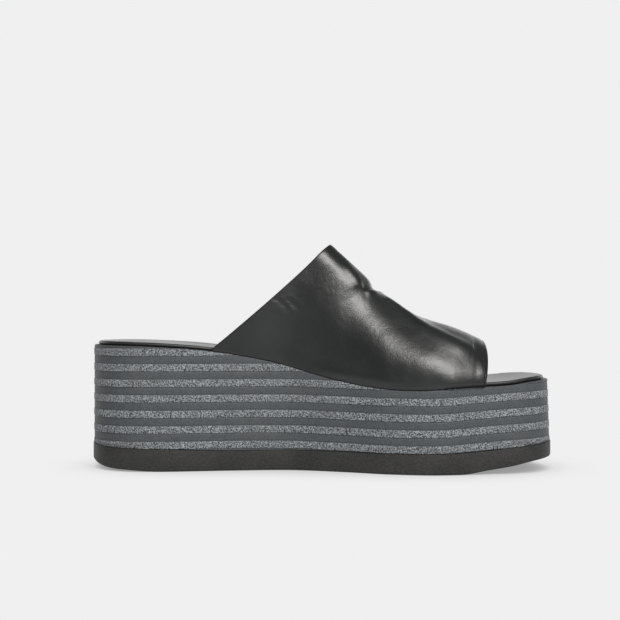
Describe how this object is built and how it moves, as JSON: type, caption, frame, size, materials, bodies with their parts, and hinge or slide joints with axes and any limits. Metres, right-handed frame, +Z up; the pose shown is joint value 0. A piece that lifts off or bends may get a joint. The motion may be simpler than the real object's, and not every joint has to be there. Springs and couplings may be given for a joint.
{
  "type": "leather mule",
  "caption": "Left women's open-toe, open-back leather mule on a thick flatform sole with raised ribs around its side.",
  "frame": {"origin": "on the floor, under the middle of the shoe's outline", "axes": "+X from heel to toe, +Y to the outer side of the foot, +Z up"},
  "size_m": [0.257, 0.0956, 0.1247],
  "materials": {
    "outsole_rubber": "matte, dark, finely grained",
    "ribbed_foam": "matte grey, rough crumb on the ribs, smooth between them",
    "insole_leather": "satin black leather, wrapped round the rim",
    "upper_leather": "smooth, soft-gloss black leather"
  },
  "bodies": {
    "root": {"outsole": "outsole_rubber", "midsole": "ribbed_foam", "insole": "insole_leather", "upper": "upper_leather"}
  },
  "joints": []
}
